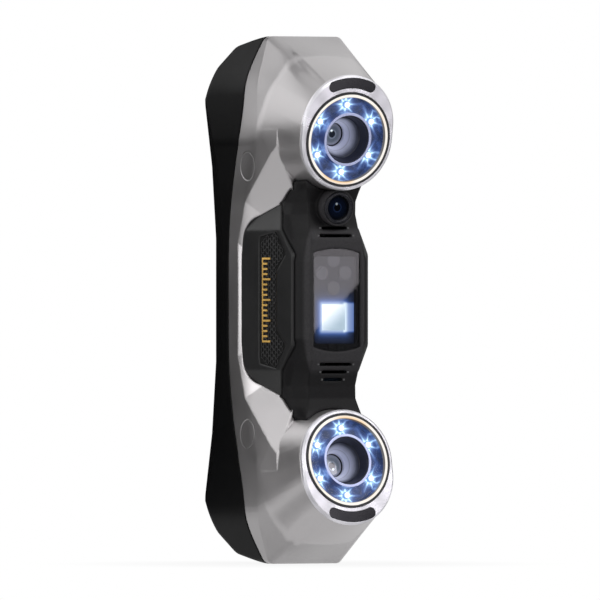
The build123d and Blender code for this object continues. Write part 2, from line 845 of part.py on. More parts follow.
# Back cover
pocket_y = shell_back - pad_sunk
inside_y = shell_back - wall
socket_mouth = shell_back - socket_sunk
with BuildPart() as back_cover:
    add(shell & rear)
    for x_sign, z_sign in quarters:
        add(along_y(boss_radius, x_sign * boss_x, z_sign * boss_z, frame_back + fit, inside_y + wall / 2))
        add(along_y(boss_bore, x_sign * boss_x, z_sign * boss_z, frame_back + boss_floor, back_y + over),
            mode=Mode.SUBTRACT)
        add(along_y(screw_radius + fit, x_sign * boss_x, z_sign * boss_z, frame_back, back_y),
            mode=Mode.SUBTRACT)
    for x_sign in (1, -1):
        for z in key_post_z:
            add(along_y(key_post_radius, x_sign * key_post_x, z, key_board_y + key_board_thick,
                        inside_y + wall / 2))
    with BuildSketch(Plane.XZ.offset(-pocket_y)):
        RectangleRounded(2 * (pad_half_width + fit), 2 * (pad_half_length + fit), radius=pad_corner)
    extrude(amount=-over, mode=Mode.SUBTRACT)
    for name, radius, z in keys:
        add(along_y(radius + slip, 0, z, inside_y - over, back_y + over), mode=Mode.SUBTRACT)
    add(along_y(light_radius + fit, 0, light_z, inside_y - over, back_y + over), mode=Mode.SUBTRACT)
    add(block(-socket_width / 2 - fit, socket_width / 2 + fit, inside_y - fit, back_y + over,
              socket_z - socket_height / 2 - fit, socket_z + socket_height / 2 + fit), mode=Mode.SUBTRACT)
    shelf_top = socket_z - socket_height / 2 - socket_board_thick
    add(block(-socket_board_half_width, socket_board_half_width, socket_mouth - over - socket_board_length,
              inside_y + wall / 2, shelf_top - shelf_thick, shelf_top) & outer)
    with BuildSketch(Plane.XY.offset(tripod_z)):
        with Locations((0, tripod_y)):
            Circle(tripod_boss_radius)
    extrude(amount=tripod_boss_top - tripod_z)
    with BuildSketch(Plane.XY.offset(tripod_z)):
        with Locations((0, tripod_y)):
            Circle(insert_radius)
    extrude(amount=insert_length, mode=Mode.SUBTRACT)
    with BuildSketch(Plane.XY.offset(tripod_z)):
        with Locations((0, tripod_y)):
            Circle(spot_radius)
    extrude(amount=-over, mode=Mode.SUBTRACT)
save(back_cover.part, "back_cover")

with BuildPart() as tripod_insert:
    with BuildSketch(Plane.XY.offset(tripod_z)):
        with Locations((0, tripod_y)):
            Circle(insert_radius)
            Circle(tripod_radius, mode=Mode.SUBTRACT)
    extrude(amount=insert_length)
save(tripod_insert.part, "tripod_insert")

with BuildPart() as grip_pad:
    with BuildSketch(Plane.XZ.offset(-pocket_y)):
        RectangleRounded(2 * pad_half_width, 2 * pad_half_length, radius=pad_corner)
        for name, radius, z in keys:
            with Locations((0, z)):
                Circle(radius + pad_clear, mode=Mode.SUBTRACT)
        with Locations((0, light_z)):
            Circle(light_radius + fit, mode=Mode.SUBTRACT)
    extrude(amount=-(back_y - pocket_y))
    chamfer(grip_pad.faces().sort_by(Axis.Y)[-1].outer_wire().edges(), length=key_edge)
save(grip_pad.part, "grip_pad")

key_board = block(-key_board_half_width, key_board_half_width, key_board_y, key_board_y + key_board_thick,
                  key_board_low, key_board_high)
save(key_board, "key_board")

switch_y = key_board_y + key_board_thick
with BuildPart() as key_switches:
    for name, radius, z in keys:
        half = switch_size / 2
        add(block(-half, half, switch_y, switch_y + switch_height, z - half, z + half))
save(key_switches.part, "key_switches")

for name, radius, z in keys:
    with BuildPart() as key:
        add(along_y(radius, 0, z, inside_y - key_flange_thick, back_y - key_sunk))
        add(along_y(radius + key_flange, 0, z, inside_y - fit - key_flange_thick, inside_y - fit))
        add(along_y(key_stem_radius, 0, z, switch_y + switch_height + key_gap, inside_y - key_flange_thick))
        chamfer(key.faces().sort_by(Axis.Y)[-1].outer_wire().edges(), length=key_edge)
    save(key.part, name)

status_light_pipe = along_y(light_radius, 0, light_z, switch_y, back_y - key_sunk)
save(status_light_pipe, "status_light_pipe")

# Data socket
socket_bottom = socket_z - socket_height / 2
socket_board = block(-socket_board_half_width, socket_board_half_width,
                     inside_y - fit - socket_board_length, inside_y - fit,
                     socket_bottom - socket_board_thick, socket_bottom)
save(socket_board, "socket_board")

with BuildPart() as data_socket:
    with BuildSketch(Plane.XZ.offset(-socket_mouth)):
        with Locations((0, socket_z)):
            SlotOverall(socket_width, socket_height)
            SlotOverall(socket_width - 2 * socket_wall, socket_height - 2 * socket_wall, mode=Mode.SUBTRACT)
            Rectangle(socket_width - socket_height, socket_tongue)
    extrude(amount=socket_length)
    with BuildSketch(Plane.XZ.offset(-socket_mouth + socket_length)):
        with Locations((0, socket_z)):
            SlotOverall(socket_width, socket_height)
    extrude(amount=-socket_wall)
save(data_socket.part, "data_socket")
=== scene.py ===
import json
from math import cos, pi, radians, sin
import random

import bmesh
import bpy
from mathutils import Matrix, Vector


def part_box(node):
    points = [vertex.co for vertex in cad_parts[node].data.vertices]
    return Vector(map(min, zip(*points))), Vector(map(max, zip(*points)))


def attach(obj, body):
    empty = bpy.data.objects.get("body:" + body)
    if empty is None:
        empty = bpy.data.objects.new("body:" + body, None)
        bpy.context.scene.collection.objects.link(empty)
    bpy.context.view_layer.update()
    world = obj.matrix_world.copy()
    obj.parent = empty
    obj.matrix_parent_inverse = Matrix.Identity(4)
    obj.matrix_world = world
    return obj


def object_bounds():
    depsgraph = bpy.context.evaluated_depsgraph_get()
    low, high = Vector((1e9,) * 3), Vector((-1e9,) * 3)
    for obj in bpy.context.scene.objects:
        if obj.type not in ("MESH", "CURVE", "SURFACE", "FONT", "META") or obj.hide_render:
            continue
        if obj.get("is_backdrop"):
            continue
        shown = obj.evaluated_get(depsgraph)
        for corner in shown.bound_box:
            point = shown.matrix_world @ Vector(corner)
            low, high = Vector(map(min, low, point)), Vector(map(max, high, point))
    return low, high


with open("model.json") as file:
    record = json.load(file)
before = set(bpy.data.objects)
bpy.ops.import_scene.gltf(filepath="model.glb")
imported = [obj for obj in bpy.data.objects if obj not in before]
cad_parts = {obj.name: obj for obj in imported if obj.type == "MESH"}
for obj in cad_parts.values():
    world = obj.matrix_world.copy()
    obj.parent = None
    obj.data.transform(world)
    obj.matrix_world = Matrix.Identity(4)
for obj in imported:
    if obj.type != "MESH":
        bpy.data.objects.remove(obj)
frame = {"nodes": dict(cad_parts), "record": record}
cadLow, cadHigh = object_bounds()
nodes = frame["nodes"]
mm = 0.001
ends = {"upper": 1, "lower": -1}
sides = {"left": -1, "right": 1}

toeIn = radians(10)                            # how far each lens face turns in
lens = {"circle": 13.1 * mm, "lamps": 6}


def onward(operation):                         # an operator whose first value is the socket itself
    def apply(wire, *others):
        return wire.math(operation, *others)
    return apply


def backward(operation):                       # an operator whose second value is the socket itself
    def apply(wire, first):
        return wire.made.node("ShaderNodeMath", {"operation": operation}, [first, wire])
    return apply


class Wire:                                    # a socket that takes sums and products as Python writes them
    def __init__(self, made, socket):
        self.made, self.socket = made, socket

    def math(self, operation, *others):
        return self.made.node("ShaderNodeMath", {"operation": operation}, [self, *others])

    __add__ = onward("ADD")
    __radd__ = onward("ADD")
    __sub__ = onward("SUBTRACT")
    __rsub__ = backward("SUBTRACT")
    __mul__ = onward("MULTIPLY")
    __rmul__ = onward("MULTIPLY")
    __truediv__ = onward("DIVIDE")
    __rtruediv__ = backward("DIVIDE")
    __pow__ = onward("POWER")
    __gt__ = onward("GREATER_THAN")
    __lt__ = onward("LESS_THAN")
    __abs__ = onward("ABSOLUTE")
    __mod__ = onward("FLOORED_MODULO")


socketNames = {
    "colour": "Base Color", "metallic": "Metallic", "roughness": "Roughness", "ior": "IOR",
    "normal": "Normal", "coat": "Coat Weight", "coatRoughness": "Coat Roughness",
    "specular": "Specular IOR Level", "glow": "Emission Color", "glowStrength": "Emission Strength",
}


class Finish:                                  # one material and the nodes behind its shader
    def __init__(self, name, **values):
        self.material = bpy.data.materials.new(name)
        self.material.use_nodes = True
        self.tree = self.material.node_tree
        self.shader = self.tree.nodes["Principled BSDF"]
        self.output = self.tree.nodes["Material Output"]
        self.put(**values)

    def feed(self, node, socket, value):
        target = node.inputs[socket]
        if isinstance(value, Wire):
            self.tree.links.new(value.socket, target)
        elif isinstance(value, (tuple, list)) and len(value) == 3 and target.type == "RGBA":
            target.default_value = (*value, 1)
        else:
            target.default_value = value

    def node(self, kind, settings=None, inputs=(), out=0):
        made = self.tree.nodes.new(kind)
        for key, value in (settings or {}).items():
            setattr(made, key, value)
        pairs = inputs.items() if isinstance(inputs, dict) else enumerate(inputs)
        for socket, value in pairs:
            if value is not None:
                self.feed(made, socket, value)
        return Wire(self, made.outputs[out])

    def put(self, **values):
        for socket, value in values.items():
            self.feed(self.shader, socketNames[socket], value)

    def place(self):
        return self.node("ShaderNodeTexCoord", out="Object")

    def axes(self):
        split = self.node("ShaderNodeSeparateXYZ", None, [self.place()])
        return [Wire(self, output) for output in split.socket.node.outputs]

    def noise(self, scale, detail=3, roughness=0.5, stretch=None):
        where = self.place()
        if stretch:
            where = self.node("ShaderNodeVectorMath", {"operation": "MULTIPLY"}, [where, stretch])
        return self.node("ShaderNodeTexNoise", None,
                         {"Vector": where, "Scale": scale, "Detail": detail, "Roughness": roughness})

    def ramp(self, value, low, high, first=0.0, last=1.0, smooth=False):
        kind = "SMOOTHSTEP" if smooth else "LINEAR"
        limits = {"From Min": low, "From Max": high, "To Min": first, "To Max": last}
        return self.node("ShaderNodeMapRange", {"interpolation_type": kind}, {"Value": value, **limits})

    def mix(self, factor, first, second):
        made = self.tree.nodes.new("ShaderNodeMix")
        made.data_type = "RGBA"
        self.feed(made, 0, factor)
        colours = [socket for socket in made.inputs if socket.type == "RGBA"]
        for socket, value in zip(colours, (first, second)):
            if isinstance(value, Wire):
                self.tree.links.new(value.socket, socket)
            else:
                socket.default_value = (*value, 1)
        return Wire(self, [socket for socket in made.outputs if socket.type == "RGBA"][0])

    def scaled(self, colour, value):
        return self.node("ShaderNodeVectorMath", {"operation": "SCALE"}, {0: colour, "Scale": value})

    def eased(self, radius):                   # edges catch light as if they were rounded off
        return self.node("ShaderNodeBevel", {"samples": 6}, {"Radius": radius})

    def relief(self, height, distance=1.0, edge=None):    # a bump, over edges that are rounded off
        inputs = {"Height": height, "Distance": distance, "Strength": 1.0}
        if edge:
            inputs["Normal"] = self.eased(edge)
        return self.node("ShaderNodeBump", None, inputs)


def tinted(colour, factor):
    return tuple(min(1, factor * c) for c in colour)


silver = {"colour": (0.455, 0.440, 0.446), "metallic": 0.90, "roughness": 0.36, "edge": 1.1 * mm,
          "flake": 9000, "flakeDepth": 0.001 * mm, "crown": 24.0, "crownWidth": 12 * mm,
          "edgeY": 0.022, "edgeBend": 2.2, "crownBend": 1.5,
          "crest": 4.6 * mm, "crestZ": 66 * mm, "crestWide": 30 * mm,
          "valley": 1.0 * mm, "valleyX": 13.6 * mm, "valleyWide": 3.0 * mm,
          "valleyLow": 80 * mm, "valleyHigh": 88 * mm}


def makeSilver(name, values):                  # painted metal with a fine flake and slightly crowned sides
    made = Finish(name, metallic=values["metallic"])
    x, y, z = made.axes()
    flake = made.noise(values["flake"], 2)
    cloud = made.noise(60, 4)
    height = flake * values["flakeDepth"]
    partingLine = values["edgeY"] - values["edgeBend"] * z * z
    reach = y - partingLine + values["crownWidth"] + values["crownBend"] * z * z
    reach = reach.math("MAXIMUM", 0.0)
    height = height - reach * reach * values["crown"]
    fromCrest = abs(z - values["crestZ"])
    height = height + made.ramp(fromCrest, 0.0, values["crestWide"], values["crest"], 0.0, True)
    away = made.ramp(abs(abs(x) - values["valleyX"]), 0.0, values["valleyWide"], 1, 0, True)
    deep = made.ramp(abs(z), values["valleyLow"], values["valleyHigh"], 0, values["valley"], True)
    height = height - away * deep
    made.put(colour=made.mix(made.ramp(cloud, 0.35, 0.65), tinted(values["colour"], 0.96), values["colour"]),
             roughness=made.ramp(cloud, 0.3, 0.7, values["roughness"] - 0.03, values["roughness"] + 0.03),
             normal=made.relief(height, 1.0, values["edge"]))
    return made.material


bezelSilver = {"colour": (0.66, 0.65, 0.69), "metallic": 0.55, "roughness": 0.3, "edge": 0.3 * mm,
               "flake": 9000, "flakeDepth": 0.008 * mm}


# where the painted light on a cover's front face fades in
paintedFrontLightFade = {"from": -24.5 * mm, "to": -26 * mm}


def makeGrained(name, colour, roughness, grain=1500, depth=0.02 * mm, edge=0.5 * mm,
                specular=0.4, paintedFrontLight=1.0):       # moulded plastic with a fine grain, painted lighter at its front as painted light
    made = Finish(name, specular=specular)
    texture = made.noise(grain, 3, 0.6)
    cloud = made.noise(45, 3)
    wear = made.noise(240, 4, 0.65)
    tone = made.mix(made.ramp(texture, 0.35, 0.7), tinted(colour, 0.85), tinted(colour, 1.15))
    # painted light: the front face is scaled lighter, standing in for lamp light falling on it
    if paintedFrontLight != 1.0:
        x, y, z = made.axes()
        tone = made.scaled(tone, made.ramp(y, paintedFrontLightFade["from"], paintedFrontLightFade["to"], 1.0, paintedFrontLight, True))
    rough = made.ramp(cloud + wear * 0.4, 0.45, 0.95, roughness - 0.05, roughness + 0.05)
    made.put(colour=tone, roughness=rough,
             normal=made.relief(texture, depth, edge))
    return made.material


def makeGloss(name, colour, roughness=0.08, edge=0.2 * mm, **more):
    made = Finish(name, **more)
    smear = made.noise(70, 4)
    made.put(colour=made.mix(smear, tinted(colour, 0.8), tinted(colour, 1.2)),
             roughness=made.ramp(smear, 0.3, 0.7, roughness * 0.7, roughness * 1.5),
             normal=made.eased(edge))
    return made.material


def makeMetal(name, colour, roughness, stretch=(1, 1, 1), scale=3000, depth=0.01 * mm, edge=0.25 * mm):
    made = Finish(name, metallic=1.0)          # machined or brushed metal
    brush = made.noise(scale, 4, 0.6, stretch)
    made.put(colour=made.mix(made.ramp(brush, 0.3, 0.7), tinted(colour, 0.85), colour),
             roughness=made.ramp(brush, 0.3, 0.7, roughness - 0.08, roughness + 0.08),
             normal=made.relief(brush, depth, edge))
    return made.material


def lensPlace(end):                            # centre of a lens face, and its right, up and inward ways
    low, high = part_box(end + "_seal_ring")
    sign = ends[end]
    back = Vector((0, cos(toeIn), sign * sin(toeIn)))
    up = Vector((0, -sin(toeIn), sign * cos(toeIn)))
    return (low + high) / 2 - back * 0.5 * mm, Vector((sign, 0, 0)), up, back


def alongWays(made, centre, ways):             # how far a point lies from the centre in each way, as sockets
    offset = made.node("ShaderNodeVectorMath", {"operation": "SUBTRACT"}, [made.place(), tuple(centre)])
    return [made.node("ShaderNodeVectorMath", {"operation": "DOT_PRODUCT"}, [offset, tuple(way)], out="Value")
            for way in ways]


def lensAxes(made, end):                       # right, up and depth of a point, as sockets
    centre, *ways = lensPlace(end)
    return alongWays(made, centre, ways)


def lampOffset(made, end):                     # a point's sideways and outward distance from its nearest lamp
    u, v, _ = lensAxes(made, end)
    sector = 2 * pi / lens["lamps"]
    turn = (v.math("ARCTAN2", u) - pi / 2 + sector / 2) % sector - sector / 2
    reach = (u * u + v * v) ** 0.5
    return reach * turn.math("SINE"), reach * turn.math("COSINE") - lens["circle"]


lampGlow = {"halo": 2.1 * mm, "colour": (0.085, 0.175, 0.56), "core": (0.52, 0.80, 1.0), "spikes": 8,
            "floor": (0.006, 0.007, 0.018), "strength": 1.9}


def makeLampField(name, end, values):          # the dark ring round the lamps, with a painted glow: a halo, star rays and haze at each lamp
    made = Finish(name, roughness=0.4, glowStrength=values["strength"])
    side, out = lampOffset(made, end)
    gap = (side * side + out * out) ** 0.5 / values["halo"]
    spoke = (out.math("ARCTAN2", side) * (values["spikes"] / 2)).math("COSINE") ** 2
    halo = 1 / (1 + (gap * gap) * (gap * 0.9))
    ray = spoke ** 5 / (1 + gap * gap * 0.7)
    patch = made.noise(300, 3, 0.6)
    haze = made.ramp(patch, 0.46, 0.66, 0.01, 0.15)
    light = halo * 1.15 + ray * 1.0 + haze
    glow = made.mix(made.ramp(light, 0.2, 1.0), values["colour"], values["core"])
    made.put(colour=values["floor"], glow=made.scaled(glow, light))
    return made.material


lampDome = {"coreFrom": 0.75 * mm, "coreTo": 1.45 * mm, "rim": (0.26, 0.50, 1.0), "core": (0.95, 0.98, 1.0),
            "body": (0.2, 0.25, 0.35), "strength": 2.4}


def makeLampCore(name, end, values):           # a lamp's dome: a white core with a blue rim
    made = Finish(name, roughness=0.3, glowStrength=values["strength"])
    side, out = lampOffset(made, end)
    away = (side * side + out * out) ** 0.5
    core = made.ramp(away, values["coreFrom"], values["coreTo"], 1, 0, True)
    glow = made.mix(core, values["rim"], values["core"])
    made.put(colour=values["body"], glow=made.scaled(glow, made.ramp(core, 0, 1, 0.25, 1.0)))
    return made.material


def makeBezel(name, end, values):              # satin ring with soft radial streaks
    made = Finish(name, metallic=values["metallic"])
    u, v, _ = lensAxes(made, end)
    turn = v.math("ARCTAN2", u)
    streak = ((turn * 5 + 1).math("SINE") + (turn * 9 + 2).math("SINE") + (turn * 16).math("SINE")) / 3
    flake = made.noise(values["flake"], 2)
    made.put(colour=made.mix(made.ramp(streak, -0.6, 0.7), tinted(values["colour"], 0.86),
                             tinted(values["colour"], 1.16)),
             roughness=made.ramp(streak, -0.6, 0.7, values["roughness"] + 0.05, values["roughness"] - 0.04),
             normal=made.relief(flake, values["flakeDepth"], values["edge"]))
    return made.material


paintedRingShine = {"white": (1.0, 0.96, 0.90), "gold": (0.95, 0.55, 0.17), "strength": 0.95,
            "faceFrom": 16.42 * mm, "faceTo": 16.56 * mm, "rimFrom": 16.6 * mm, "rimTo": 17.4 * mm}


def makeRingPaintedShine(name, end, values):          # gold ring painted as glowing white with gold stretches: a painted reflection
    made = Finish(name, roughness=0.3, glowStrength=values["strength"])
    u, v, _ = lensAxes(made, end)
    turn = v.math("ARCTAN2", u)
    # painted reflection: the ring glows although it is no lamp
    band = ((turn * 3 + 0.6).math("SINE") + (turn * 2 - 1.1).math("SINE")) * 0.5
    warm = made.ramp(band, 0.1, 0.8, 0.05, 0.75, True)
    reach = (u * u + v * v) ** 0.5
    rim = made.ramp(reach, values["rimFrom"], values["rimTo"], 1.0, 0.35)
    face = made.ramp(reach, values["faceFrom"], values["faceTo"], 0.12, 1.0)
    glow = made.mix(warm * rim, values["white"], values["gold"])
    made.put(colour=tinted(values["white"], 0.03), glow=made.scaled(glow, face))
    return made.material


tunnelPaintedLight = {"dark": (0.006, 0.008, 0.020), "mid": (0.09, 0.11, 0.19), "light": (0.62, 0.65, 0.82),
          "from": 5.5 * mm, "to": 11.0 * mm, "step": 2.9 * mm, "glow": 0.75, "shadeHalf": 6 * mm}


def makeBafflePaintedLight(name, end, values):             # a stepped tunnel with painted light: painted shade at its mouth and at each step, painted light and a glow at its throat
    made = Finish(name, specular=0.35)
    u, v, depth = lensAxes(made, end)
    streak = made.noise(160, 3)
    deep = made.ramp(depth + streak * 1.6 * mm, values["from"], values["to"], 0, 1, True)
    # painted shade: each step starts darker
    step = made.ramp((depth % values["step"]) / values["step"], 0.0, 0.25, 0.6, 1.0)
    colour = made.mix(deep, made.mix(deep, values["dark"], values["mid"]), values["light"])
    # painted shade: one side of the tunnel is darker, as if in shadow
    shade = made.ramp(u * ends[end] - v * 0.3, -values["shadeHalf"], values["shadeHalf"], 0.6, 0.1)
    made.put(colour=made.scaled(colour, step), roughness=made.ramp(streak, 0.3, 0.7, 0.3, 0.45),
             glow=made.scaled(colour, shade), glowStrength=values["glow"], normal=made.eased(0.15 * mm))
    return made.material


lensCoat = {"pupil": (0.02, 0.03, 0.05), "paintedRing": (0.40, 0.47, 0.56), "coat": (0.22, 0.26, 0.32),
            "edge": (0.46, 0.48, 0.58), "shine": 0.9, "paintedGlint": 1.0, "radius": 4.5 * mm}


def makeLensGlass(name, centre, ways, values):    # a coated lens with painted reflections: a ring, the rim tone and a small glowing glint
    made = Finish(name, roughness=0.04, coat=values["shine"], coatRoughness=0.02, specular=values["shine"])
    u, v = alongWays(made, centre, ways)
    radius = values["radius"]
    reach = (u * u + v * v) ** 0.5 / radius
    ring = made.ramp(abs(reach - 0.36), 0.03, 0.08, 1, 0, True)
    colour = made.mix(made.ramp(reach, 0.30, 0.36), values["pupil"], values["coat"])
    colour = made.mix(made.ramp(reach, 0.62, 0.98), colour, values["edge"])
    colour = made.mix(ring, colour, values["paintedRing"])
    # painted reflection: a small glowing glint off the lens middle
    dotU, dotV = u / radius + 0.08, v / radius - 0.30
    paintedGlint = made.ramp((dotU * dotU + dotV * dotV) ** 0.5, 0.06, 0.14, 1, 0, True)
    made.put(colour=colour, glow=made.mix(paintedGlint, (0, 0, 0), (0.85, 0.95, 1.0)), glowStrength=values["paintedGlint"])
    return made.material


def makeClear(name, tint, clarity, ior=1.5):   # a clear sheet: light goes through, gloss stays on top
    made = Finish(name, roughness=0.03, ior=ior)
    smear = made.noise(90, 3)
    made.put(colour=made.mix(smear, tinted(tint, 0.9), tint))
    clear = made.node("ShaderNodeBsdfTransparent", None, {"Color": (0.97, 0.98, 1.0)})
    facing = made.node("ShaderNodeLayerWeight", None, {"Blend": 0.5}, "Facing")
    mixed = made.node("ShaderNodeMixShader", None, [facing ** 5 * 0.9 + (1.035 - clarity), clear,
                                                    Wire(made, made.shader.outputs[0])])
    made.tree.links.new(mixed.socket, made.output.inputs["Surface"])
    return made.material


squareZ = -6.7 * mm                            # height of the lit square's middle
plateGlow = {"colour": (0.030, 0.030, 0.034), "halo": (0.16, 0.34, 1.0), "spread": 1.7 * mm, "side": 10 * mm,
             "ghost": 9 * mm, "bandSoft": 1.2 * mm, "streaks": 900, "strength": 2.6}


def makeEmitterPlate(name, values):            # dark, with a painted glow: the square's blue haze and a painted ghost of it beside it
    made = Finish(name, specular=0.3, glowStrength=values["strength"])
    x, y, z = made.axes()
    texture = made.noise(900, 2)
    half = values["side"] / 2
    wide = (abs(x) - half).math("MAXIMUM", 0.0)
    tall = (abs(z - squareZ) - half).math("MAXIMUM", 0.0)
    gap = (wide * wide + tall * tall) ** 0.5 / values["spread"]
    haze = 1 / (1 + gap * gap * (1 + gap)) * 0.9
    beside = made.ramp(x, half, half + values["ghost"], 0.85, 0.0) * (x > half * 0.9)
    band = made.ramp(tall, 0.0, values["bandSoft"], 1.0, 0.0, True)
    streak = made.ramp((x * values["streaks"]).math("SINE"), -1, 1, 0.55, 1.0)
    light = haze + beside * band * streak
    glow = made.mix(made.ramp(light, 0.35, 1.1), values["halo"], (0.75, 0.88, 1.0))
    made.put(colour=made.mix(texture, tinted(values["colour"], 0.85), tinted(values["colour"], 1.2)),
             roughness=made.ramp(texture, 0.3, 0.7, 0.35, 0.45),
             glow=made.scaled(glow, light), normal=made.relief(texture, 0.004 * mm))
    return made.material


squareGlow = {"colour": (0.54, 0.82, 1.0), "strength": 2.9}


def makeSquareLight(name, values):             # pale blue, white-hot at its upper left
    made = Finish(name, roughness=0.3, glowStrength=values["strength"])
    x, y, z = made.axes()
    across = made.ramp(x * -0.8 + z - squareZ, -6 * mm, 5 * mm, 0.62, 1.15, True)
    glow = made.mix(across - 0.3, values["colour"], (1, 1, 1))
    made.put(colour=(0.9, 0.95, 1.0), glow=made.scaled(glow, across))
    return made.material


padTread = {"colour": (0.013, 0.013, 0.014), "pitch": 2.6 * mm, "depth": 0.35 * mm, "top": -14 * mm,
            "bottom": -57 * mm, "half": 11.2 * mm, "face": 39.5 * mm}


def makePad(name, values):                     # soft grip with small raised diamonds under the keys, the grooves between them painted darker as painted shade
    made = Finish(name, specular=0.25)
    x, y, z = made.axes()
    first, second = (x + z) / values["pitch"], (x - z) / values["pitch"]
    lines = abs(first % 1 - 0.5).math("MAXIMUM", abs(second % 1 - 0.5))
    stud = made.ramp(lines, 0.30, 0.42, 1, 0, True)
    inside = (abs(x) < values["half"]) * (z < values["top"]) * (z > values["bottom"])
    inside = inside * (y > values["face"])
    grain = made.noise(1100, 3)
    # painted shade: the recessed grooves between the diamonds are darker
    made.put(colour=made.mix((1 - stud) * inside, values["colour"], tinted(values["colour"], 0.45)),
             roughness=made.ramp(grain, 0.3, 0.7, 0.52, 0.66),
             normal=made.relief((stud - 1) * inside * values["depth"] + grain * 0.03 * mm, 1.0, 0.4 * mm))
    return made.material


insert = {"colour": (0.78, 0.58, 0.26), "pitch": 1.27 * mm, "y": 9 * mm}


def makeThread(name, values):                  # brass with the marks of a cut thread along its bore
    made = Finish(name, metallic=1.0, roughness=0.28)
    x, y, z = made.axes()
    around = (y - values["y"]).math("ARCTAN2", x) / (2 * pi)
    groove = abs((z / values["pitch"] + around) % 1 - 0.5)
    brush = made.noise(2500, 3)
    made.put(colour=made.mix(brush, tinted(values["colour"], 0.8), values["colour"]),
             normal=made.relief(groove * 0.5 * mm, 1.0, 0.2 * mm))
    return made.material


boardInk = {"mask": (0.008, 0.075, 0.038), "trace": (0.015, 0.12, 0.06), "copper": (0.62, 0.42, 0.16),
            "wander": 5 * mm, "lane": 1.3 * mm, "holeX": 3.9 * mm, "holeZ": 3.1 * mm}


def makeBoard(name, values):                   # solder mask with faint traces and small plated holes
    made = Finish(name, specular=0.5, coat=0.4)
    x, y, z = made.axes()
    wander = made.noise(140, 1)
    lane = (x + wander * values["wander"]) / values["lane"]
    trace = made.ramp(abs(lane % 1 - 0.5), 0.28, 0.34, 0, 1)
    holeX = abs(x / values["holeX"] % 1 - 0.5)
    holeZ = abs(z / values["holeZ"] % 1 - 0.5)
    hole = made.ramp((holeX * holeX + holeZ * holeZ) ** 0.5, 0.09, 0.12, 1, 0)
    colour = made.mix(trace, values["mask"], values["trace"])
    made.put(colour=made.mix(hole, colour, values["copper"]),
             roughness=made.ramp(wander, 0.3, 0.7, 0.28, 0.38),
             normal=made.relief(trace, 0.03 * mm, 0.1 * mm))
    return made.material


gold = {"colour": (0.74, 0.45, 0.11), "roughness": 0.42, "metallic": 0.35}
finishes = {
    "silver_shell": makeSilver("silverShell", silver),
    "black_shell": makeGrained("blackShell", (0.0034, 0.0034, 0.0037), 0.36, 1300, 0.010 * mm, 1.8 * mm,
                               0.05),
    # the 3.2 below is painted light that makes the cover's front face lighter
    "dark_cover": makeGrained("darkCover", (0.0105, 0.0101, 0.0108), 0.36, 1500, 0.012 * mm, 1.5 * mm,
                              0.08, 3.2),
    "mesh_black": makeGrained("meshBlack", (0.003, 0.003, 0.003), 0.7, 900, 0.01 * mm, 0.1 * mm, 0.15),
    "tinted_glass": makeClear("tintedGlass", (0.010, 0.010, 0.011), 0.60, 1.7),
    "dark_gloss": makeGloss("darkGloss", (0.006, 0.006, 0.010), 0.16, specular=0.25),
    "accent_gold": makeGloss("goldPaint", gold["colour"], gold["roughness"], 0.1 * mm,
                             metallic=gold["metallic"]),
    "seal_black": makeGrained("sealBlack", (0.008, 0.008, 0.010), 0.5, 3000, 0.005 * mm, 0.1 * mm),
    "lamp_black": makeGrained("lampBlack", (0.012, 0.012, 0.016), 0.5, 2500, 0.01 * mm, 0.2 * mm),
    "clear_cover": makeClear("clearCover", (0.3, 0.4, 0.7), 0.985),
    "grey_metal": makeMetal("greyMetal", (0.42, 0.46, 0.66), 0.42),
    "frame_metal": makeMetal("frameMetal", (0.62, 0.63, 0.65), 0.35, (1, 1, 8)),
    "board_green": makeBoard("boardGreen", boardInk),
    "chip_black": makeGrained("chipBlack", (0.02, 0.02, 0.02), 0.5),
    "screw_steel": makeMetal("screwSteel", (0.55, 0.55, 0.57), 0.3),
    "insert_brass": makeThread("insertBrass", insert),
    "pad_rubber": makePad("padRubber", padTread),
    "key_rubber": makeGrained("keyRubber", (0.030, 0.030, 0.032), 0.5, 1500, 0.02 * mm, 0.5 * mm),
    "socket_steel": makeMetal("socketSteel", (0.60, 0.60, 0.62), 0.25),
    "light_clear": makeGloss("lightClear", (0.55, 0.75, 0.70), 0.15),
    "emitter_plate": makeEmitterPlate("emitterPlate", plateGlow),
    "emitter_lens": makeGloss("emitterLens", (0.30, 0.30, 0.31), 0.30, 0.5 * mm, metallic=0.9),
    "pale_blue_light": makeSquareLight("paleBlueLight", squareGlow),
}
finishes["web"] = makeGrained("meshWeb", (0.024, 0.024, 0.025), 0.42, 1500, 0.01 * mm, 0.12 * mm, 0.5)
finishes["panel"] = makeGrained("panelShell", (0.0115, 0.0115, 0.0120), 0.38, 1500, 0.012 * mm, 1.4 * mm,
                                0.28)
finishes["vent_end"] = makeGrained("ventEnd", (0.05, 0.05, 0.052), 0.45, 1500, 0.01 * mm, 0.1 * mm)
finishes["white_ink"] = makeGrained("keyInk", (0.55, 0.55, 0.56), 0.5, 3000, 0.005 * mm, 0.05 * mm)


def dress(node, material):
    for place in nodes[node].material_slots:
        place.material = material


for entry in frame["record"]["subparts"]:      # a slot with no finish here gets one of its own below
    piece = nodes[entry["node"]]
    if not piece.material_slots:
        piece.data.materials.append(None)
    if entry["material_slot"] in finishes:
        dress(entry["node"], finishes[entry["material_slot"]])
for end in ends:
    field = makeLampField(end + "LampField", end, lampGlow)
    dress(end + "_lamp_board", field)
    dress(end + "_lamp_tray", field)
    dress(end + "_lamps", makeLampCore(end + "LampCore", end, lampDome))
    dress(end + "_bezel", makeBezel(end + "Bezel", end, bezelSilver))
    dress(end + "_accent_ring", makeRingPaintedShine(end + "RingPaintedShine", end, paintedRingShine))
    dress(end + "_baffle", makeBafflePaintedLight(end + "BafflePaintedLight", end, tunnelPaintedLight))
    low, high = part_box(end + "_lens_glass")
    lensMiddle = (low + high) / 2
    dress(end + "_lens_glass", makeLensGlass(end + "LensCoat", lensMiddle, lensPlace(end)[1:3], lensCoat))
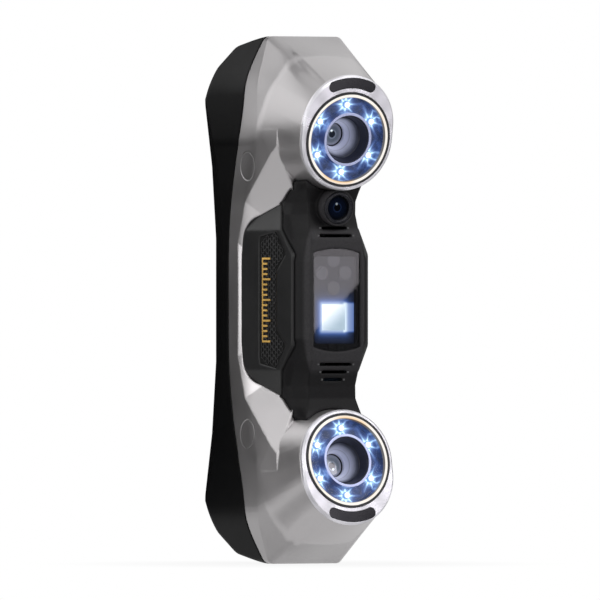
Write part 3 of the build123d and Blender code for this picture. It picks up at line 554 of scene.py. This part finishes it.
for side in sides:
    dress(side + "_side_panel", finishes["panel"])
dress("side_plugs", makeSilver("silverPlug", {**silver, "edge": 0.25 * mm}))
low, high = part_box("color_lens")
colourCoat = {"pupil": (0.001, 0.001, 0.002), "paintedRing": (0.008, 0.016, 0.045), "coat": (0.002, 0.004, 0.012),
              "edge": (0.001, 0.002, 0.004), "shine": 0.12, "paintedGlint": 0.3, "radius": (high.x - low.x) / 2}
dress("color_lens", makeLensGlass("colourCoat", (low + high) / 2, [(1, 0, 0), (0, 0, 1)], colourCoat))
print("finishes done")


def finished(mesh, name, slot, body="scanner", smooth=True, finish=None):
    data = bpy.data.meshes.new(name)
    mesh.to_mesh(data)
    mesh.free()
    data.materials.append(finish or finishes[slot])
    for face in data.polygons:
        face.use_smooth = smooth
    piece = bpy.data.objects.new(name, data)
    bpy.context.scene.collection.objects.link(piece)
    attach(piece, body)
    return piece


def addBlock(mesh, size, middle, turn=None):   # a plain bar, whose edges soften() rounds afterwards
    made = bmesh.ops.create_cube(mesh, size=1)["verts"]
    bmesh.ops.scale(mesh, vec=size, verts=made)
    if turn:
        bmesh.ops.rotate(mesh, cent=(0, 0, 0), matrix=turn, verts=made)
    bmesh.ops.translate(mesh, vec=middle, verts=made)


def soften(mesh, width):
    bmesh.ops.bevel(mesh, geom=mesh.edges[:], offset=width, segments=2, profile=0.5, affect="EDGES",
                    material=-1)


def keepOnly(mesh, faces):                     # removes every other face
    kept = set(faces)
    bmesh.ops.delete(mesh, geom=[face for face in mesh.faces if face not in kept], context="FACES_ONLY")


honeycomb = {"rise": 2.26 * mm, "run": 1.60 * mm, "web": 0.23 * mm, "high": 0.28 * mm,
             "slant": [(0.2 * mm, 24.5 * mm), (-11 * mm, 26.4 * mm), (-17.6 * mm, 17.6 * mm),
                       (-11 * mm, 11.1 * mm)],
             "front": -17.4 * mm, "rear": 0.6 * mm, "pointFrom": 11 * mm, "bandFront": -10.8 * mm,
             "halfLength": 28 * mm, "columns": range(-12, 3), "merge": 0.15 * mm, "lean": 0.067}


def makeHoneycomb(side, sign, values):         # the raised hexagonal web on an inlay
    low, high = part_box(side + "_mesh_inlay")
    outer = high.x if sign > 0 else -low.x
    mesh = bmesh.new()
    rows = int(values["halfLength"] / values["rise"])
    for column in values["columns"]:
        for row in range(-rows, rows + 1):
            y = column * values["run"]
            z = (row + 0.5 * (column % 2)) * values["rise"]
            reach = values["rise"] * 0.52
            corners = [(y, z + reach), (y, z - reach), (y + reach, z), (y - reach, z)]
            if not all(insideInlay(a, abs(b), values) for a, b in corners):
                continue
            radius = values["rise"] / 3 ** 0.5
            made = bmesh.ops.create_circle(mesh, segments=6, radius=radius, cap_ends=True)["verts"]
            bmesh.ops.scale(mesh, vec=(values["run"] / (values["rise"] * 0.75 ** 0.5), 1, 1), verts=made)
            bmesh.ops.translate(mesh, vec=(y, z, 0), verts=made)
    bmesh.ops.remove_doubles(mesh, verts=mesh.verts[:], dist=values["merge"])
    made = bmesh.ops.inset_individual(mesh, faces=mesh.faces[:], thickness=values["web"])
    keepOnly(mesh, made["faces"])
    bmesh.ops.recalc_face_normals(mesh, faces=mesh.faces[:])
    bmesh.ops.solidify(mesh, geom=mesh.faces[:], thickness=values["high"])
    for vert in mesh.verts:
        y, z, rise = vert.co
        top = outer - (high.y - y) * values["lean"]
        vert.co = (sign * (top + abs(rise)), y, z)
    bmesh.ops.recalc_face_normals(mesh, faces=mesh.faces[:])
    return finished(mesh, side + "Honeycomb", "mesh_black", smooth=False, finish=finishes["web"])


def insideInlay(y, z, values):                 # whether a point is on the inlay: its band or its pointed end
    if not values["front"] < y < values["rear"]:
        return False
    if z < values["pointFrom"]:
        return y > values["bandFront"]
    return insideSlant(y, z, values["slant"])


def insideSlant(y, z, slant):                  # whether a point is within the pointed end of the inlay
    for (y0, z0), (y1, z1) in zip(slant, slant[1:]):
        run, rise = y1 - y0, z1 - z0
        if (rise * (y - y0) - run * (z - z0)) / (run * run + rise * rise) ** 0.5 > -0.1 * mm:
            return False
    return True


tickScale = {"count": 17, "pitch": 2 * mm, "long": 5.2 * mm, "short": 3.2 * mm, "thick": 0.75 * mm,
             "proud": 0.20 * mm, "y": -4.3 * mm, "rail": 0.5 * mm}


def makeTickScale(side, sign, values):         # a plain gold scale of ticks on the pierced inlay
    low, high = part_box(side + "_mesh_inlay")
    outer = high.x if sign > 0 else -low.x
    turn = Matrix.Rotation(sign * -honeycomb["lean"], 3, "Z")
    mesh = bmesh.new()

    def bar(y, z, wide, tall):
        x = sign * (outer - (high.y - y) * honeycomb["lean"] + honeycomb["high"])
        addBlock(mesh, (values["proud"] * 2, wide, tall), (x, y, z), turn)

    for index in range(values["count"]):
        z = (index - (values["count"] - 1) / 2) * values["pitch"]
        wide = values["long"] if index % 4 == 0 else values["short"]
        bar(values["y"] + values["long"] / 2 - wide / 2, z, wide, values["thick"])
    bar(values["y"] + values["long"] / 2, 0, values["rail"],
        (values["count"] - 1) * values["pitch"] + values["thick"])
    soften(mesh, 0.06 * mm)
    return finished(mesh, side + "TickScale", "accent_gold", smooth=False)


keyMarks = {"top": 39.7 * mm, "proud": 0.12 * mm, "bar": 3.6 * mm, "thick": 0.7 * mm, "ring": 3.1 * mm,
            "ringThick": 0.5 * mm, "plus": 33 * mm, "minus": -1 * mm, "scan": 16 * mm}


def makeKeyMarks(values):                      # plus, minus and a plain ring, raised on the key caps
    height = values["proud"] * 2
    mesh = bmesh.new()
    addBlock(mesh, (values["bar"], height, values["thick"]), (0, values["top"], values["plus"]))
    addBlock(mesh, (values["thick"], height, values["bar"]), (0, values["top"], values["plus"]))
    soften(mesh, 0.05 * mm)
    finished(mesh, "plusMark", "key_rubber", "plus_key_cap", False, finishes["white_ink"])
    mesh = bmesh.new()
    addBlock(mesh, (values["bar"], height, values["thick"]), (0, values["top"], values["minus"]))
    soften(mesh, 0.05 * mm)
    finished(mesh, "minusMark", "key_rubber", "minus_key_cap", False, finishes["white_ink"])
    mesh = bmesh.new()
    turn = Matrix.Translation((0, values["top"], values["scan"])) @ Matrix.Rotation(pi / 2, 4, "X")
    bmesh.ops.create_circle(mesh, segments=48, radius=values["ring"], cap_ends=True, matrix=turn)
    made = bmesh.ops.inset_individual(mesh, faces=mesh.faces[:], thickness=values["ringThick"])
    keepOnly(mesh, made["faces"])
    bmesh.ops.solidify(mesh, geom=mesh.faces[:], thickness=values["proud"])
    bmesh.ops.recalc_face_normals(mesh, faces=mesh.faces[:])
    low = max(vert.co.y for vert in mesh.verts)
    bmesh.ops.translate(mesh, vec=(0, values["top"] + values["proud"] - low, 0), verts=mesh.verts[:])
    finished(mesh, "scanMark", "key_rubber", "scan_key_cap", False, finishes["white_ink"])


ventEnds = {"halves": (7.2, 5.6, 4.3), "upperCount": 2, "lowerCount": 3, "first": 24.8, "pitch": 2.95,
            "wide": 0.9, "deep": 0.5, "high": 0.8, "proud": 0.12, "inset": 0.65}
coverFace = [(15, -27.5), (23.5, -27), (28, -25), (33, -23.5), (38, -23.5)]


def makeVentEnds(values):                      # small lighter pads at both ends of each vent
    mesh = bmesh.new()
    for zSign in ends.values():
        count = values["upperCount"] if zSign > 0 else values["lowerCount"]
        for step, half in enumerate(values["halves"][:count]):
            z = zSign * (values["first"] + step * values["pitch"]) * mm
            low = frontAt(abs(z) / mm)
            for xSign in (-1, 1):
                addBlock(mesh, (values["wide"] * mm, values["deep"] * mm, values["high"] * mm),
                         (xSign * (half + values["wide"] * values["inset"]) * mm,
                          low + values["proud"] * mm, z))
    soften(mesh, 0.1 * mm)
    return finished(mesh, "ventEnds", "dark_cover", smooth=False, finish=finishes["vent_end"])


def frontAt(z):                                # depth of the cover's face at a height in millimetres
    for (z0, y0), (z1, y1) in zip(coverFace, coverFace[1:]):
        if z0 <= z <= z1:
            return (y0 + (y1 - y0) * (z - z0) / (z1 - z0)) * mm
    return coverFace[-1][1] * mm


boardBits = {"seed": 7, "count": 70, "halfWidth": 12.8 * mm, "halfLength": 42 * mm,
             "taken": [(0, 0), (-9 * mm, 26 * mm), (8 * mm, 27 * mm), (-9 * mm, -26 * mm), (9 * mm, -28 * mm),
                       (0, -37 * mm), (11 * mm, 38 * mm), (-11 * mm, 38 * mm), (11 * mm, -38 * mm),
                       (-11 * mm, -38 * mm)],
             "fromTaken": 8 * mm, "fromEach": 2.4 * mm,
             "across": (1.6 * mm, 0.6 * mm, 0.8 * mm), "along": (0.8 * mm, 0.6 * mm, 1.6 * mm)}


def isNear(x, z, places, distance):
    return any(abs(x - a) < distance and abs(z - b) < distance for a, b in places)


def makeBoardBits(values):                     # small components round the chips on the main board
    low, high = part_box("main_board")
    _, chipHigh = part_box("board_chips")
    outward = 1 if chipHigh.y > high.y else -1
    face = high.y if outward > 0 else low.y
    chance = random.Random(values["seed"])
    mesh = bmesh.new()
    kept = []
    for _ in range(values["count"]):
        x = chance.uniform(-values["halfWidth"], values["halfWidth"])
        z = chance.uniform(-values["halfLength"], values["halfLength"])
        if isNear(x, z, values["taken"], values["fromTaken"]) or isNear(x, z, kept, values["fromEach"]):
            continue
        kept.append((x, z))
        size = values["across"] if chance.random() < 0.5 else values["along"]
        addBlock(mesh, size, (x, face + outward * 0.3 * mm, z))
    soften(mesh, 0.08 * mm)
    return finished(mesh, "boardBits", "chip_black", smooth=False)


for side, sign in sides.items():
    makeHoneycomb(side, sign, honeycomb)
    makeTickScale(side, sign, tickScale)
makeKeyMarks(keyMarks)
makeVentEnds(ventEnds)
makeBoardBits(boardBits)
print("pieces done")


pixels = 600                                   # width of the picture
studio = {"floor": 8.0, "floorColour": (0.5, 0.5, 0.51), "world": 0.38, "pixel": 232.3 * mm / pixels,
          "shadeFrom": 0.03, "shadeTo": 0.11, "shade": 0.9, "below": 0.2 * mm,
          "distance": 6.0, "azimuth": radians(-30), "shiftPixels": -1.5, "sensor": 36}


def makeStage(values):                         # white where it is seen or reflected, soft grey as a light
    scene = bpy.context.scene
    scene.view_settings.view_transform = "Standard"
    world = bpy.data.worlds.new("studio")
    scene.world = world
    world.use_nodes = True
    tree = world.node_tree
    background = tree.nodes["Background"]
    background.inputs["Color"].default_value = (values["world"],) * 3 + (1,)
    rays = tree.nodes.new("ShaderNodeLightPath")
    white = tree.nodes.new("ShaderNodeBackground")
    white.inputs["Color"].default_value = (1, 1, 1, 1)
    mixed = tree.nodes.new("ShaderNodeMixShader")
    seen = rays.outputs["Is Camera Ray"]
    for kind in ("Is Glossy Ray", "Is Transmission Ray"):
        either = tree.nodes.new("ShaderNodeMath")
        either.operation = "MAXIMUM"
        tree.links.new(seen, either.inputs[0])
        tree.links.new(rays.outputs[kind], either.inputs[1])
        seen = either.outputs[0]
    tree.links.new(seen, mixed.inputs[0])
    tree.links.new(background.outputs[0], mixed.inputs[1])
    tree.links.new(white.outputs[0], mixed.inputs[2])
    tree.links.new(mixed.outputs[0], tree.nodes["World Output"].inputs["Surface"])

    bpy.ops.mesh.primitive_plane_add(size=values["floor"], location=(0, 0, cadLow.z - values["below"]))
    floor = bpy.context.object
    floor.name = "floor"
    made = Finish("floorPaint", colour=values["floorColour"], roughness=0.9)
    x, y, z = made.axes()
    away = (x * x + y * y) ** 0.5
    far = made.ramp(away, values["shadeFrom"], values["shadeTo"], values["shade"], 1.0, True)
    seen = made.node("ShaderNodeLightPath", out="Is Camera Ray")
    rays = seen.socket.node
    for kind in ("Is Glossy Ray", "Is Transmission Ray"):
        seen = seen.math("MAXIMUM", Wire(made, rays.outputs[kind]))
    glow = made.node("ShaderNodeEmission", None, {"Color": (1, 1, 1), "Strength": 1.0})
    mix = made.node("ShaderNodeMixShader", None, [seen * far, Wire(made, made.shader.outputs[0]), glow])
    made.tree.links.new(mix.socket, made.output.inputs["Surface"])
    floor.data.materials.append(made.material)
    floor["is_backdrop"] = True


lamps = {
    "key": {"size": (1.8, 1.4), "power": 13, "from": (0.35, -1.1, 0.9)},
    "leftFill": {"size": (0.9, 0.85), "power": 5.2, "from": (-1.15, -0.1, 0.1)},
    "leftBack": {"size": (0.4, 0.5), "power": 1.2, "from": (-1.0, 0.42, 0.55)},
    "topStrip": {"size": (1.2, 1.0), "power": 2.5, "from": (-0.35, -0.25, 1.3)},
}


def makeLights(values):
    for name, lamp in values.items():
        data = bpy.data.lights.new(name, "AREA")
        data.shape = "RECTANGLE"
        data.size, data.size_y = lamp["size"]
        data.energy = lamp["power"]
        light = bpy.data.objects.new(name, data)
        light.location = lamp["from"]
        light.rotation_euler = (-Vector(lamp["from"])).to_track_quat("-Z", "Y").to_euler()
        bpy.context.scene.collection.objects.link(light)


def makeCamera(values):
    data = bpy.data.cameras.new("camera")
    camera = bpy.data.objects.new("camera", data)
    bpy.context.scene.collection.objects.link(camera)
    turn = values["azimuth"]
    back = Vector((sin(turn), -cos(turn), 0))
    right = Vector((cos(turn), sin(turn), 0))
    frameWidth = pixels * values["pixel"]
    data.sensor_width = values["sensor"]
    data.lens = values["sensor"] * values["distance"] / frameWidth
    aim = right * values["shiftPixels"] * values["pixel"]
    camera.location = aim + back * values["distance"]
    camera.rotation_euler = (-back).to_track_quat("-Z", "Y").to_euler()
    data.clip_start, data.clip_end = 0.01, 20
    bpy.context.scene.camera = camera


cards = {
    "darkCard": {"size": (0.70, 0.50), "place": (-0.23, 0.33, 0.145), "face": (0.14, -0.99, 0.0),
                 "strength": 0.0},
    "rightDark": {"size": (0.50, 0.32), "place": (0.32, 0.32, 0.06), "face": (-0.707, -0.707, 0.0),
                 "strength": 0.0},
    "floorDark": {"size": (0.7, 0.26), "place": (0.15, 0.30, -0.101), "face": (0.0, 0.0, 1.0),
                 "strength": 0.0},
    "backLight": {"size": (0.6, 0.36), "place": (-0.35, 0.31, 0.27), "face": (0.0, -1.0, 0.0),
                 "strength": 1.5},
    "topDark": {"size": (0.28, 0.28), "place": (-0.19, 0.10, 0.53), "face": (0.33, -0.17, -0.93),
                 "strength": 0.1},
    "footDark": {"size": (0.24, 0.14), "place": (-0.155, -0.045, -0.1012), "face": (0.0, 0.0, 1.0),
                 "strength": 0.5},
    "glassDark": {"size": (0.10, 0.13), "place": (0.139, -0.316, 0.0), "face": (-0.5, 0.866, 0.0),
                 "strength": 0.05},
    "glassCard": {"size": (0.06, 0.06), "place": (0.1309, -0.2976, 0.0163), "face": (-0.5, 0.866, 0.0),
                  "tilt": radians(-47.5), "strength": 3.6, "glow": (0.98, 0.93, 1.0)},
}


def makeCard(name, values):                    # a card that only reflections see
    mesh = bmesh.new()
    bmesh.ops.create_grid(mesh, x_segments=1, y_segments=1, size=0.5)
    bmesh.ops.scale(mesh, vec=(*values["size"], 1), verts=mesh.verts[:])
    turn = Vector(values["face"]).to_track_quat("Z", "Y").to_matrix().to_4x4()
    turn = Matrix.Translation(values["place"]) @ turn @ Matrix.Rotation(values.get("tilt", 0), 4, "Z")
    bmesh.ops.transform(mesh, matrix=turn, verts=mesh.verts[:])
    data = bpy.data.meshes.new(name)
    mesh.to_mesh(data)
    mesh.free()
    card = bpy.data.objects.new(name, data)
    bpy.context.scene.collection.objects.link(card)
    made = Finish(name + "Paint", colour=(0.01, 0.01, 0.01), roughness=1.0, specular=0.0,
                  glow=values.get("glow", (1, 1, 1)), glowStrength=values["strength"])
    data.materials.append(made.material)
    card.visible_camera = card.visible_shadow = card.visible_diffuse = False
    card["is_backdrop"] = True


makeStage(studio)
makeLights(lamps)
makeCamera(studio)
for name, values in cards.items():
    makeCard(name, values)
print("stage done")

low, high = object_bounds()
